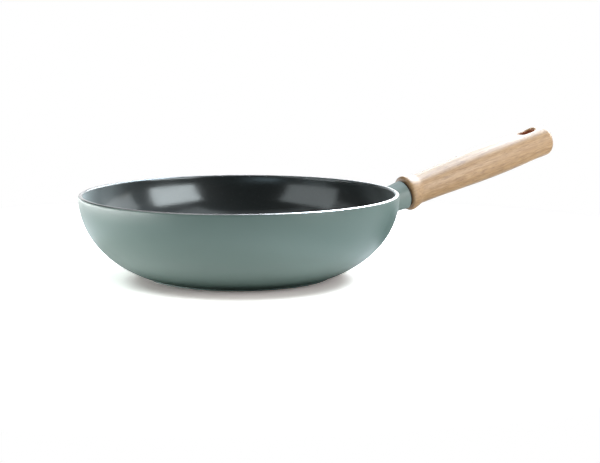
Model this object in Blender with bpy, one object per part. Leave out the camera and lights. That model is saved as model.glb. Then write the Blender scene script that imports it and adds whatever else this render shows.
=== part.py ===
"""Wok with a flat foot, an induction plate, a painted neck and a turned wooden grip.

The bowl is a forged aluminium shell. A bracket is welded to its wall, and its flat-sided spigot
passes through the neck sleeve and the gasket into the grip. One long screw, put in from the
tail of the grip, pulls grip, gasket and neck together. Units are metres, +Z is up, the origin
is the middle of the foot on the table, and the handle points along +X.
"""

import math

import bmesh
import bpy
from mathutils import Vector

# Bowl. The two fullness values say how far the wall bulges towards its outer corner, and the
# wall begins to thicken into the lip at LIP_BEGINS of the way up its curve.
RIM_RADIUS = 0.144
BOWL_HEIGHT = 0.075
FOOT_RADIUS = 0.083
FOOT_STEP = 0.0012
FOOT_CHAMFER = 0.0004
WALL_START_ANGLE = math.radians(17)
LOWER_FULLNESS = 0.52
UPPER_FULLNESS = 0.52
BASE_THICKNESS = 0.005
WALL_THICKNESS = 0.0036
LIP_WIDTH = 0.0042
LIP_ROUND = 0.0018
LIP_BEGINS = 0.66
FLOOR_BLEND = 0.0016

# Induction plate, let into the foot, with rings of 6, 12 and 18 holes
PLATE_TO_FOOT_EDGE = 0.011
PLATE_THICKNESS = 0.001
PLATE_HOLE_RADIUS = 0.003
PLATE_HOLES_TO_EDGE = 0.012
PLATE_RINGS = 3
PLATE_HOLES_IN_FIRST_RING = 6

# Handle axis: how far below the rim it crosses the rim's circle, and how steeply it rises
AXIS_BELOW_RIM = 0.0233
HANDLE_RISE = math.radians(14.4)

# Neck sleeve and gasket, measured along the axis from the rim's circle
NECK_REACH = 0.0395
NECK_ROOT_RADIUS = 0.0120
NECK_END_RADIUS = 0.0138
NECK_WALL = 0.002
NECK_END_WALL = 0.004
NECK_CHAMFER = 0.0007
GASKET_THICKNESS = 0.0012
GASKET_INSET = 0.0008

# Bracket: a pad on the wall and a spigot with one thread insert
PAD_DEPTH = 0.008
SPIGOT_WIDTH = 0.014
SPIGOT_WALL = 0.0012
SPIGOT_ROUND = 0.0012
SPIGOT_IN_GRIP = 0.024
INSERT_WALL = 0.001
INSERT_LENGTH = 0.014

# Grip, a turned piece: its places are measured from its front face
GRIP_LENGTH = 0.181
FRONT_ROUND = 0.003
FLANGE_RADIUS = 0.0170
WAIST_RADIUS = 0.0141
WAIST_AT = 0.016
BELLY_RADIUS = 0.0165
BELLY_FROM_TAIL = 0.070
TAIL_RADIUS = 0.0157
TAIL_ROUND = 0.007

# Hanging slot
SLOT_LENGTH = 0.021
SLOT_WIDTH = 0.012
SLOT_TO_TAIL = 0.0142
SLOT_LIP_ROUND = 0.0022

# Long screw, what lies under its head, and the plug behind it
SCREW_RADIUS = 0.0025
SCREW_TIP_CLEARANCE = 0.002
SEAT_BEHIND_SPIGOT = 0.028
HEAD_OVERHANG = 0.00175
HEAD_HEIGHT = 0.005
SCREW_CHAMFER = 0.0007
SOCKET_RADIUS = 0.0023
SOCKET_DEPTH = 0.0028
FLAT_WASHER_THICKNESS = 0.001
SPRING_WASHER_THICKNESS = 0.0013
SPRING_WASHER_WIDTH = 0.0014
SPRING_WASHER_OPENING = math.radians(24)
PLUG_CHAMFER = 0.0004

# Play between pieces
FIT_GAP = 0.0003
BORE_GAP = 0.0004

# Fineness of the facets
BOWL_SEGMENTS = 72
WALL_STEPS = 12
FLOOR_RUN_IN = (8, 4, 1)
ROUND_SEGMENTS = 28
HOLE_SEGMENTS = 8
NECK_STEPS = 5
GRIP_SEGMENTS = 32
GRIP_STEPS = (1, 1, 6, 7, 4)
TAIL_STEPS = 5
SLOT_END_STEPS = 6
SLOT_LIP_STEPS = 2

# How far a cutter runs past what it cuts
OVERRUN = 0.004

# Sizes that follow from those above, along the axis from the rim's circle where it is a place
PLATE_RADIUS = FOOT_RADIUS - PLATE_TO_FOOT_EDGE
INSERT_RADIUS = SCREW_RADIUS + FIT_GAP + INSERT_WALL
SPIGOT_THICKNESS = 2 * (INSERT_RADIUS + FIT_GAP + SPIGOT_WALL)
SPIGOT_END = NECK_REACH + SPIGOT_IN_GRIP
INSERT_BOTTOM = SPIGOT_END - INSERT_LENGTH
SCREW_SEAT = SPIGOT_END + SEAT_BEHIND_SPIGOT
HEAD_RADIUS = SCREW_RADIUS + HEAD_OVERHANG
GRIP_TAIL = NECK_REACH + GRIP_LENGTH
SLOT_MIDDLE = GRIP_TAIL - SLOT_TO_TAIL - SLOT_LENGTH / 2


def clear_scene():
    """Empties the scene, so that only this model is in it."""
    for obj in list(bpy.data.objects):
        bpy.data.objects.remove(obj, do_unlink=True)


def principled(name, colour, roughness, metallic=0.0):
    """A plain surface of one colour."""
    material = bpy.data.materials.new(name)
    material.use_nodes = True
    shader = material.node_tree.nodes["Principled BSDF"]
    shader.inputs["Base Color"].default_value = (*colour, 1.0)
    shader.inputs["Roughness"].default_value = roughness
    shader.inputs["Metallic"].default_value = metallic
    return material


def add_object(name, bm, material=None, parent=None):
    """Closes a bmesh into an object of the scene, with its faces pointing out."""
    bmesh.ops.remove_doubles(bm, verts=bm.verts, dist=1e-6)
    bmesh.ops.recalc_face_normals(bm, faces=bm.faces)
    mesh = bpy.data.meshes.new(name)
    bm.to_mesh(mesh)
    bm.free()
    mesh.shade_smooth()
    mesh.set_sharp_from_angle(angle=math.radians(35))
    obj = bpy.data.objects.new(name, mesh)
    bpy.context.scene.collection.objects.link(obj)
    if material is not None:
        mesh.materials.append(material)
    if parent is not None:
        obj.parent = parent
    return obj


def turned(profile, segments):
    """Turns a closed outline of (radius, height) points about Z."""
    bm = bmesh.new()
    corners = [bm.verts.new((radius, 0.0, height)) for radius, height in profile]
    edges = [bm.edges.new((a, b)) for a, b in zip(corners, corners[1:] + corners[:1])]
    bmesh.ops.spin(
        bm,
        geom=corners + edges,
        axis=(0, 0, 1),
        cent=(0, 0, 0),
        steps=segments,
        angle=2 * math.pi,
        use_merge=True,
    )
    bmesh.ops.remove_doubles(bm, verts=bm.verts, dist=1e-6)
    on_axis = [e for e in bm.edges if all(v.co.xy.length < 1e-7 for v in e.verts)]
    bmesh.ops.delete(bm, geom=on_axis, context="EDGES")
    return bm


def lofted(rings):
    """A closed skin through rings that hold the same number of points."""
    bm = bmesh.new()
    loops = [[bm.verts.new(point) for point in ring] for ring in rings]
    count = len(loops[0])
    for lower, upper in zip(loops, loops[1:]):
        for i in range(count):
            j = (i + 1) % count
            bm.faces.new((lower[i], lower[j], upper[j], upper[i]))
    bm.faces.new(loops[0][::-1])
    bm.faces.new(loops[-1])
    return bm


def rounded_rectangle(width, depth, corner, height):
    """Points of a rectangle with quarter-round corners, at one height. Width is along Y."""
    points = []
    steps = 4
    for turn in range(4):
        sign_x = (1, -1, -1, 1)[turn]
        sign_y = (1, 1, -1, -1)[turn]
        for step in range(steps + 1):
            angle = math.pi / 2 * (turn + step / steps)
            x = sign_x * (depth / 2 - corner) + corner * math.cos(angle)
            y = sign_y * (width / 2 - corner) + corner * math.sin(angle)
            points.append((x, y, height))
    return points


def hidden_cutter(obj):
    """Marks a helper that only shapes other pieces."""
    obj.hide_render = True
    obj.display_type = "WIRE"
    return obj


def combine(target, tool, operation):
    """Cuts the tool away from the target, or joins it on."""
    modifier = target.modifiers.new(operation.title() + "_" + tool.name, "BOOLEAN")
    modifier.operation = operation
    modifier.solver = "EXACT"
    modifier.object = tool
    return target


def lip_round():
    """Radius of the lip's two edges, which can't pass half the lip's width."""
    return min(LIP_ROUND, 0.48 * LIP_WIDTH)


def wall_curve():
    """The outside of the wall, from the foot's edge up to the rim: (point, tangent) pairs."""
    foot = Vector((FOOT_RADIUS, FOOT_STEP))
    rim = Vector((RIM_RADIUS, BOWL_HEIGHT - lip_round()))
    run = rim - foot
    start = Vector((1.0, math.tan(WALL_START_ANGLE)))
    pull_low = foot + LOWER_FULLNESS * run.x * start
    pull_high = rim - Vector((0.0, UPPER_FULLNESS * run.y))
    curve = []
    for step in range(WALL_STEPS + 1):
        t = step / WALL_STEPS
        u = 1 - t
        point = u**3 * foot + 3 * u * u * t * pull_low + 3 * u * t * t * pull_high + t**3 * rim
        rise = pull_high - pull_low
        slope = u * u * (pull_low - foot) + 2 * u * t * rise + t * t * (rim - pull_high)
        curve.append((point, slope.normalized()))
    return curve


def offset_wall(distance_at):
    """The wall curve moved sideways: a positive distance goes into the bowl."""
    moved = []
    curve = wall_curve()
    for step, (point, tangent) in enumerate(curve):
        inward = Vector((-tangent.y, tangent.x))
        moved.append(point + distance_at(step / (len(curve) - 1)) * inward)
    return moved


def wall_thickness(share):
    """Thickness of the wall at a share of its curve: it thickens into the lip near the top."""
    thickening = max(0.0, (share - LIP_BEGINS) / (1 - LIP_BEGINS))
    return WALL_THICKNESS + (LIP_WIDTH - WALL_THICKNESS) * thickening


def inside_curve():
    """The cooking surface from the rim down to the flat floor, blended into it."""
    points = offset_wall(wall_thickness)
    back = (points[0] - points[1]).normalized()
    run_in = [points[0] + back * FLOOR_BLEND * reach for reach in FLOOR_RUN_IN]
    curve = []
    for point in run_in + points:
        above = point.y - BASE_THICKNESS
        lift = 0.5 * (above + math.hypot(above, FLOOR_BLEND))
        curve.append(Vector((point.x, BASE_THICKNESS + lift)))
    curve[-1] = Vector((RIM_RADIUS - LIP_WIDTH, BOWL_HEIGHT - lip_round()))
    return curve[::-1]


def quarter_round(centre, radius, start_angle, steps=4):
    """Points of a quarter circle, counter-clockwise from the start angle."""
    points = []
    for step in range(steps + 1):
        angle = start_angle + math.pi / 2 * step / steps
        points.append(centre + radius * Vector((math.cos(angle), math.sin(angle))))
    return points


def bowl_outline():
    """Half section of the bowl, from the middle of its underside round to the middle inside."""
    under = [
        Vector((0.0, 0.0)),
        Vector((FOOT_RADIUS - FOOT_CHAMFER, 0.0)),
        Vector((FOOT_RADIUS, FOOT_CHAMFER)),
    ]
    outside = [point for point, _ in wall_curve()]
    top = BOWL_HEIGHT - lip_round()
    outer_round = quarter_round(Vector((RIM_RADIUS - lip_round(), top)), lip_round(), 0.0)
    inner_middle = Vector((RIM_RADIUS - LIP_WIDTH + lip_round(), top))
    inner_round = quarter_round(inner_middle, lip_round(), math.pi / 2)
    inside = inside_curve()
    floor_middle = Vector((0.0, BASE_THICKNESS))
    return under + outside + outer_round[1:] + inner_round + inside[1:] + [floor_middle]


def perforated_disc(radius, hole_radius, bottom, top):
    """A round plate with rings of round holes."""
    bm = bmesh.new()
    circles = [((0.0, 0.0), radius, BOWL_SEGMENTS)]
    for ring in range(1, PLATE_RINGS + 1):
        ring_radius = (PLATE_RADIUS - PLATE_HOLES_TO_EDGE) * ring / PLATE_RINGS
        count = PLATE_HOLES_IN_FIRST_RING * ring
        for index in range(count):
            angle = 2 * math.pi * (index + 0.5) / count
            middle = (ring_radius * math.cos(angle), ring_radius * math.sin(angle))
            circles.append((middle, hole_radius, HOLE_SEGMENTS))
    for (x, y), size, sides in circles:
        corners = []
        for side in range(sides):
            angle = 2 * math.pi * side / sides
            corners.append(bm.verts.new((x + size * math.cos(angle), y + size * math.sin(angle), bottom)))
        for a, b in zip(corners, corners[1:] + corners[:1]):
            bm.edges.new((a, b))
    bmesh.ops.triangle_fill(bm, edges=bm.edges, use_beauty=True, use_dissolve=False)
    sheet = bmesh.ops.extrude_face_region(bm, geom=bm.faces[:])
    raised = [item for item in sheet["geom"] if isinstance(item, bmesh.types.BMVert)]
    bmesh.ops.translate(bm, verts=raised, vec=(0, 0, top - bottom))
    return bm


def make_wok_body(material):
    """Forged shell. Its metal fills the holes of the plate, level with the foot, and holds it."""
    bowl = add_object("wok_body", turned(bowl_outline(), BOWL_SEGMENTS), material)
    pocket_bm = perforated_disc(
        PLATE_RADIUS + FIT_GAP,
        PLATE_HOLE_RADIUS - FIT_GAP,
        -OVERRUN,
        PLATE_THICKNESS + FIT_GAP,
    )
    pocket = hidden_cutter(add_object("plate_pocket", pocket_bm))
    combine(bowl, pocket, "DIFFERENCE")
    return bowl


def make_induction_plate(material):
    """Magnetic steel plate, flush with the foot."""
    disc = perforated_disc(PLATE_RADIUS, PLATE_HOLE_RADIUS, 0.0, PLATE_THICKNESS)
    return add_object("induction_plate", disc, material)


def bowl_space_cutter():
    """All that lies within the outside of the bowl and a small gap round it."""
    skin = offset_wall(lambda share: -FIT_GAP)
    top = BOWL_HEIGHT + OVERRUN
    outline = [Vector((0.0, skin[0].y))] + skin + [Vector((skin[-1].x, top)), Vector((0.0, top))]
    cutter = add_object("bowl_space", turned(outline, BOWL_SEGMENTS))
    return hidden_cutter(cutter)


def make_handle_axis():
    """Empty whose Z runs out along the handle and whose X points down from it."""
    axis = bpy.data.objects.new("handle_axis", None)
    bpy.context.scene.collection.objects.link(axis)
    axis.location = (RIM_RADIUS, 0.0, BOWL_HEIGHT - AXIS_BELOW_RIM)
    axis.rotation_euler = (0.0, math.pi / 2 - HANDLE_RISE, 0.0)
    return axis


def spigot_bar(clearance, low, high):
    """The spigot's bar, or the hole for it when a clearance is given."""
    width = SPIGOT_WIDTH + 2 * clearance
    thickness = SPIGOT_THICKNESS + 2 * clearance
    corner = SPIGOT_ROUND + clearance
    return lofted([rounded_rectangle(width, thickness, corner, z) for z in (low, high)])


def deep_in_bowl():
    """A place on the handle's axis that is inside the bowl, where neck and pad are started."""
    return -AXIS_BELOW_RIM - NECK_END_RADIUS


def make_handle_bracket(axis, bowl_space, material):
    """Pad shaped to the wall, with the spigot that carries neck and grip."""
    radius = NECK_ROOT_RADIUS - NECK_WALL - BORE_GAP
    start = deep_in_bowl()
    pad = [(0.0, start), (radius, start), (radius, PAD_DEPTH), (0.0, PAD_DEPTH)]
    bracket = add_object("handle_bracket", turned(pad, ROUND_SEGMENTS), material, axis)
    spigot_bm = spigot_bar(0.0, PAD_DEPTH - OVERRUN, SPIGOT_END)
    spigot = hidden_cutter(add_object("spigot_bar", spigot_bm, None, axis))
    combine(bracket, spigot, "UNION")
    combine(bracket, bowl_space, "DIFFERENCE")
    radius = INSERT_RADIUS + FIT_GAP
    bottom = INSERT_BOTTOM - FIT_GAP
    mouth = SPIGOT_END + OVERRUN
    hole = [(0.0, bottom), (radius, bottom), (radius, mouth), (0.0, mouth)]
    insert_hole = hidden_cutter(add_object("insert_hole", turned(hole, ROUND_SEGMENTS), None, axis))
    combine(bracket, insert_hole, "DIFFERENCE")
    return bracket


def make_thread_insert(axis, material):
    """Hard metal bush that takes the long screw's thread in the soft casting."""
    low = INSERT_BOTTOM
    high = SPIGOT_END
    bore = SCREW_RADIUS + FIT_GAP
    outline = [(bore, low), (INSERT_RADIUS, low), (INSERT_RADIUS, high), (bore, high)]
    return add_object("thread_insert", turned(outline, ROUND_SEGMENTS), material, axis)


def make_neck_sleeve(axis, bowl_space, material):
    """Painted sleeve between the bowl and the grip, closed by an end wall with a square hole."""
    end = NECK_REACH - GASKET_THICKNESS - 2 * FIT_GAP
    bore = NECK_ROOT_RADIUS - NECK_WALL
    start = deep_in_bowl()
    outline = [(bore, start), (NECK_ROOT_RADIUS, start)]
    shoulder = end - NECK_CHAMFER
    for step in range(NECK_STEPS + 1):
        share = step / NECK_STEPS
        flare = (NECK_END_RADIUS - NECK_ROOT_RADIUS) * share**2
        outline.append((NECK_ROOT_RADIUS + flare, shoulder * share))
    outline += [
        (NECK_END_RADIUS - NECK_CHAMFER, end),
        (0.0, end),
        (0.0, end - NECK_END_WALL),
        (bore, end - NECK_END_WALL),
    ]
    sleeve = add_object("neck_sleeve", turned(outline, ROUND_SEGMENTS), material, axis)
    combine(sleeve, bowl_space, "DIFFERENCE")
    hole_bm = spigot_bar(FIT_GAP, end - NECK_END_WALL - OVERRUN, NECK_REACH + OVERRUN)
    hole = hidden_cutter(add_object("sleeve_square_hole", hole_bm, None, axis))
    combine(sleeve, hole, "DIFFERENCE")
    return sleeve


def make_neck_gasket(axis, material):
    """Dark heat-proof ring that keeps the neck's heat from the wood."""
    low = NECK_REACH - GASKET_THICKNESS - FIT_GAP
    high = NECK_REACH - FIT_GAP
    radius = NECK_END_RADIUS - GASKET_INSET
    outline = [(0.0, low), (radius, low), (radius, high), (0.0, high)]
    gasket = add_object("neck_gasket", turned(outline, ROUND_SEGMENTS), material, axis)
    hole_bm = spigot_bar(FIT_GAP, low - OVERRUN, high + OVERRUN)
    hole = hidden_cutter(add_object("gasket_square_hole", hole_bm, None, axis))
    combine(gasket, hole, "DIFFERENCE")
    return gasket


def eased(share):
    """Goes from 0 to 1, level at both ends."""
    return share * share * (3 - 2 * share)


def grip_profile():
    """(distance from the front face, radius) pairs: bead, waist, belly and rounded tail."""
    front_edge = math.cos(math.pi / 4) * FRONT_ROUND
    stations = [
        (0.0, FLANGE_RADIUS - FRONT_ROUND),
        (FRONT_ROUND - front_edge, FLANGE_RADIUS - FRONT_ROUND + front_edge),
        (FRONT_ROUND, FLANGE_RADIUS),
        (WAIST_AT, WAIST_RADIUS),
        (GRIP_LENGTH - BELLY_FROM_TAIL, BELLY_RADIUS),
        (GRIP_LENGTH - TAIL_ROUND, TAIL_RADIUS),
    ]
    profile = []
    for low, high, count in zip(stations, stations[1:], GRIP_STEPS):
        for step in range(count):
            share = step / count
            place = low[0] + share * (high[0] - low[0])
            profile.append((place, low[1] + eased(share) * (high[1] - low[1])))
    for step in range(TAIL_STEPS + 1):
        angle = math.pi / 2 * step / TAIL_STEPS
        drop = TAIL_ROUND * (1 - math.cos(angle))
        place = GRIP_LENGTH - TAIL_ROUND + TAIL_ROUND * math.sin(angle)
        profile.append((place, TAIL_RADIUS - drop))
    return profile


def slot_outline(growth, x):
    """A slot with round ends, across the grip at one height."""
    radius = SLOT_WIDTH / 2
    straight = SLOT_LENGTH / 2 - radius
    points = []
    for end_sign, start in ((1, -math.pi / 2), (-1, math.pi / 2)):
        for step in range(SLOT_END_STEPS + 1):
            angle = start + math.pi * step / SLOT_END_STEPS
            along = end_sign * straight + (radius + growth) * math.cos(angle)
            across = (radius + growth) * math.sin(angle)
            points.append((x, across, SLOT_MIDDLE + along))
    return points


def slot_cutter(axis):
    """The hanging slot, which widens in a quarter round at its two mouths."""
    face = (BELLY_RADIUS + TAIL_RADIUS) / 2
    lip = []
    for step in range(SLOT_LIP_STEPS + 1):
        angle = math.pi / 2 * step / SLOT_LIP_STEPS
        growth = SLOT_LIP_ROUND * (1 - math.sin(angle))
        lip.append((growth, face - SLOT_LIP_ROUND * (1 - math.cos(angle))))
    lip.insert(0, (2 * SLOT_LIP_ROUND, face + 2 * SLOT_LIP_ROUND))
    rings = [slot_outline(growth, -height) for growth, height in lip]
    rings += [slot_outline(growth, height) for growth, height in reversed(lip)]
    return hidden_cutter(add_object("hanging_slot", lofted(rings), None, axis))


def make_wooden_grip(axis, material):
    """Turned beech grip with a square socket, a stepped bore and a hanging slot."""
    outline = [(0.0, NECK_REACH)]
    outline += [(radius, NECK_REACH + place) for place, radius in grip_profile()]
    outline.append((0.0, GRIP_TAIL))
    grip = add_object("wooden_grip", turned(outline, GRIP_SEGMENTS), material, axis)
    socket_bm = spigot_bar(FIT_GAP, NECK_REACH - OVERRUN, SPIGOT_END + FIT_GAP)
    socket = hidden_cutter(add_object("grip_socket", socket_bm, None, axis))
    screw_bore = SCREW_RADIUS + BORE_GAP
    tool_bore = HEAD_RADIUS + BORE_GAP
    bore = [
        (0.0, SPIGOT_END - OVERRUN),
        (screw_bore, SPIGOT_END - OVERRUN),
        (screw_bore, SCREW_SEAT),
        (tool_bore, SCREW_SEAT),
        (tool_bore, GRIP_TAIL + OVERRUN),
        (0.0, GRIP_TAIL + OVERRUN),
    ]
    stepped_bore = hidden_cutter(add_object("stepped_bore", turned(bore, ROUND_SEGMENTS), None, axis))
    combine(grip, socket, "DIFFERENCE")
    combine(grip, stepped_bore, "DIFFERENCE")
    combine(grip, slot_cutter(axis), "DIFFERENCE")
    return grip


def make_flat_washer(axis, material):
    """Steel washer on the shoulder in the wood."""
    low = SCREW_SEAT + FIT_GAP
    high = low + FLAT_WASHER_THICKNESS
    inner = SCREW_RADIUS + FIT_GAP
    outline = [(inner, low), (HEAD_RADIUS, low), (HEAD_RADIUS, high), (inner, high)]
    return add_object("screw_flat_washer", turned(outline, ROUND_SEGMENTS), material, axis)


def make_spring_washer(axis, material):
    """Split washer that keeps the joint tight as the wood dries."""
    low = SCREW_SEAT + FLAT_WASHER_THICKNESS + 2 * FIT_GAP
    high = low + SPRING_WASHER_THICKNESS
    inner = SCREW_RADIUS + FIT_GAP
    outer = inner + SPRING_WASHER_WIDTH
    rings = []
    sweep = 2 * math.pi - SPRING_WASHER_OPENING
    for step in range(ROUND_SEGMENTS + 1):
        angle = sweep * (step / ROUND_SEGMENTS - 0.5)
        x = math.cos(angle)
        y = math.sin(angle)
        section = ((inner, low), (outer, low), (outer, high), (inner, high))
        rings.append([(radius * x, radius * y, z) for radius, z in section])
    return add_object("screw_spring_washer", lofted(rings), material, axis)


def make_long_screw(axis, material):
    """Socket-head screw from the shoulder in the wood to the insert in the spigot."""
    tip = INSERT_BOTTOM + SCREW_TIP_CLEARANCE
    washers = FLAT_WASHER_THICKNESS + SPRING_WASHER_THICKNESS
    head = SCREW_SEAT + washers + 3 * FIT_GAP
    top = head + HEAD_HEIGHT
    outline = [
        (0.0, tip),
        (SCREW_RADIUS - SCREW_CHAMFER, tip),
        (SCREW_RADIUS, tip + SCREW_CHAMFER),
        (SCREW_RADIUS, head),
        (HEAD_RADIUS, head),
        (HEAD_RADIUS, top - SCREW_CHAMFER),
        (HEAD_RADIUS - SCREW_CHAMFER, top),
        (0.0, top),
    ]
    screw = add_object("long_screw", turned(outline, ROUND_SEGMENTS), material, axis)
    bottom = top - SOCKET_DEPTH
    high = top + OVERRUN
    socket = [(0.0, bottom), (SOCKET_RADIUS, bottom), (SOCKET_RADIUS, high), (0.0, high)]
    hex_socket = hidden_cutter(add_object("hex_socket", turned(socket, 6), None, axis))
    combine(screw, hex_socket, "DIFFERENCE")
    return screw


def make_tail_plug(axis, material):
    """Wooden dowel that closes the bore behind the slot."""
    high = GRIP_TAIL
    low = high - SLOT_TO_TAIL + FIT_GAP
    radius = HEAD_RADIUS + BORE_GAP - FIT_GAP
    outline = [
        (0.0, low),
        (radius, low),
        (radius, high - PLUG_CHAMFER),
        (radius - PLUG_CHAMFER, high),
        (0.0, high),
    ]
    return add_object("tail_plug", turned(outline, ROUND_SEGMENTS), material, axis)


def main():
    clear_scene()
    sage_paint = principled("sage_paint", (0.23, 0.33, 0.31), 0.32)
    cast_aluminium = principled("cast_aluminium", (0.62, 0.63, 0.64), 0.45, 1.0)
    plate_steel = principled("plate_steel", (0.48, 0.48, 0.47), 0.38, 1.0)
    screw_steel = principled("screw_steel", (0.55, 0.55, 0.55), 0.3, 1.0)
    brass = principled("brass", (0.72, 0.55, 0.25), 0.35, 1.0)
    beech = principled("beech", (0.67, 0.47, 0.30), 0.55)
    silicone = principled("silicone", (0.03, 0.028, 0.026), 0.6)

    make_wok_body(sage_paint)
    make_induction_plate(plate_steel)
    axis = make_handle_axis()
    bowl_space = bowl_space_cutter()
    make_handle_bracket(axis, bowl_space, cast_aluminium)
    make_thread_insert(axis, brass)
    make_neck_sleeve(axis, bowl_space, sage_paint)
    make_neck_gasket(axis, silicone)
    make_wooden_grip(axis, beech)
    make_flat_washer(axis, screw_steel)
    make_spring_washer(axis, screw_steel)
    make_long_screw(axis, screw_steel)
    make_tail_plug(axis, beech)


main()
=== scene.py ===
# %% [markdown]
# # A wok with a turned wooden grip
# The wok has been built once already, as solids that a robot simulator can use. Those solids are
# our frame: they say where each piece is and how big it is, and nothing here moves them. What the
# frame lacks is finish. Its curves are coarse and its surfaces are plain. In this notebook each
# visible piece is made again with fine curves, and every surface gets a material made from nodes.

# %% Load the frame
import math
import bmesh
import bpy
from mathutils import Matrix, Vector


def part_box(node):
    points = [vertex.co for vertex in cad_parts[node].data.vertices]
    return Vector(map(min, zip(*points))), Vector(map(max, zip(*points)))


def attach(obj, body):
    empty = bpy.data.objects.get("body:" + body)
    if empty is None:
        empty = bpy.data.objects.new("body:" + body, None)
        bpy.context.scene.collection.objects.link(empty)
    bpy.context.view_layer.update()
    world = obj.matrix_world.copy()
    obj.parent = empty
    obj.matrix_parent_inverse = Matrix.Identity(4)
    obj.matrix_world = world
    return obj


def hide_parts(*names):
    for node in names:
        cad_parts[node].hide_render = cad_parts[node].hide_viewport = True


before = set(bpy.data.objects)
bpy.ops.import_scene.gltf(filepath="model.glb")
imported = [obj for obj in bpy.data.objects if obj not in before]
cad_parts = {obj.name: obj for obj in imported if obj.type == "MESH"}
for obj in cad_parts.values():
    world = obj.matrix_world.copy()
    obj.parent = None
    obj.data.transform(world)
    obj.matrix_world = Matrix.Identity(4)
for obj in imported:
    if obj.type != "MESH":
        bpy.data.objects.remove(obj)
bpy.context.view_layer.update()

print("Solids in the frame:", ", ".join(sorted(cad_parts)))

# %% [markdown]
# ## The camera
# A product photo is taken from far away with a long lens, so that the pan looks calm and hardly
# shows perspective. The lip of a round bowl is a good ruler for finding the camera again: how
# flat its ellipse looks gives the height of the camera, and how unequal its front and back
# halves are gives the distance. A camera looks along its own -Z, so we turn -Z to the direction
# of the view and keep Y upright.

# %% Place the camera
SENSOR_WIDTH = 36.0
LENS = 99.54
CAMERA_PLACE = Vector((-0.7419, -1.2850, 0.2599))
CAMERA_LOOKS = Vector((0.5258, 0.8379, -0.1469))

camera = bpy.data.objects.new("camera", bpy.data.cameras.new("camera"))
camera.data.sensor_width = SENSOR_WIDTH
camera.data.lens = LENS
camera.location = CAMERA_PLACE
camera.rotation_euler = CAMERA_LOOKS.to_track_quat("-Z", "Y").to_euler()
bpy.context.scene.collection.objects.link(camera)
bpy.context.scene.camera = camera
print("The camera is", round(CAMERA_PLACE.length, 2), "m from the middle of the foot")

# %% [markdown]
# ## Two helpers for meshes
# Nearly all of a wok is turned on a lathe: draw half of the section, spin it about an axis, done.
# Blender's Screw modifier does that, but making the rings ourselves lets each stretch of the
# outline carry its own material, and that is how paint, bare metal and coating can meet on one
# skin with a sharp border. A point on the axis becomes one vertex, so the ends close well.

# %% A lathe and a way to finish a mesh
SHARP_ANGLE = math.radians(38)
ON_AXIS = 1e-7
MERGE_DISTANCE = 1e-6


def turned(outline, segments, finishes=None):
    """Spins a closed outline of (radius, height) points. Each stretch can have its own finish."""
    bm = bmesh.new()
    rings = []
    for radius, height in outline:
        if radius < ON_AXIS:
            rings.append([bm.verts.new((0.0, 0.0, height))])
            continue
        angles = [2 * math.pi * i / segments for i in range(segments)]
        circle = [(radius * math.cos(a), radius * math.sin(a), height) for a in angles]
        rings.append([bm.verts.new(corner) for corner in circle])
    for stretch, (ring, following) in enumerate(zip(rings, rings[1:] + rings[:1])):
        if len(ring) == len(following) == 1:
            continue
        for i in range(segments):
            j = (i + 1) % segments
            corners = [ring[i % len(ring)], ring[j % len(ring)]]
            corners += [following[j % len(following)], following[i % len(following)]]
            face = bm.faces.new(list(dict.fromkeys(corners)))
            face.material_index = finishes[stretch] if finishes else 0
    return bm


def finished(name, bm, materials, place=None):
    """Turns a bmesh, moved to its place, into a smooth object with its edges kept crisp."""
    bmesh.ops.remove_doubles(bm, verts=bm.verts, dist=MERGE_DISTANCE)
    bmesh.ops.recalc_face_normals(bm, faces=bm.faces)
    if place is not None:
        bm.transform(place)
    mesh = bpy.data.meshes.new(name)
    bm.to_mesh(mesh)
    bm.free()
    for material in materials:
        mesh.materials.append(material)
    mesh.shade_smooth()
    mesh.set_sharp_from_angle(angle=SHARP_ANGLE)
    piece = bpy.data.objects.new(name, mesh)
    bpy.context.scene.collection.objects.link(piece)
    return piece


# %% [markdown]
# Holes and sockets are cut with the Boolean modifier and its exact solver. With its materials
# set to transfer, the walls of a hole get the material of the cutter, so raw wood can show inside
# a varnished grip. The result is read back as a plain mesh, and the cutter is thrown away, so the
# scene keeps only real pieces. A cutter for a slot or a socket is a bar between two loops of
# points.

# %% A way to cut
def cut(piece, cutter):
    """Cuts the cutter out of the piece for good, and throws the cutter away."""
    modifier = piece.modifiers.new("cut", "BOOLEAN")
    modifier.operation = "DIFFERENCE"
    modifier.solver = "EXACT"
    modifier.material_mode = "TRANSFER"
    modifier.object = cutter
    bpy.context.view_layer.update()
    shaped = piece.evaluated_get(bpy.context.evaluated_depsgraph_get())
    mesh = bpy.data.meshes.new_from_object(shaped)
    piece.modifiers.clear()
    piece.data = mesh
    mesh.shade_smooth()
    mesh.set_sharp_from_angle(angle=SHARP_ANGLE)
    bpy.data.objects.remove(cutter)


def bar_between(bm, low, high):
    """Closes two loops of vertices into a bar, with a band of faces and a cap at each end."""
    for i in range(len(low)):
        j = (i + 1) % len(low)
        bm.faces.new((low[i], low[j], high[j], high[i]))
    bm.faces.new(low[::-1])
    bm.faces.new(high)


def dress(piece, slot, *replaced):
    """Puts a piece on the part's one body, in place of the solids that it stands for."""
    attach(piece, "root")
    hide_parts(*replaced)
    print(f"{piece.name}: {len(piece.data.polygons)} faces in place of {', '.join(replaced)}")


# %% [markdown]
# ## Helpers for materials
# A Blender material is a graph of nodes. Our add_node adds one node, sets its properties and
# fills its inputs, with either a value or the output of another node. All patterns below are
# worked out in the object's own coordinates, in metres, so they need no unwrapping and no
# picture files, and they keep their real size however close we come.

# %% A way to write nodes
def new_material(name):
    """An empty material with a Principled shader: (material, tree, shader)."""
    material = bpy.data.materials.new(name)
    material.use_nodes = True
    tree = material.node_tree
    return material, tree, tree.nodes["Principled BSDF"]


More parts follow.
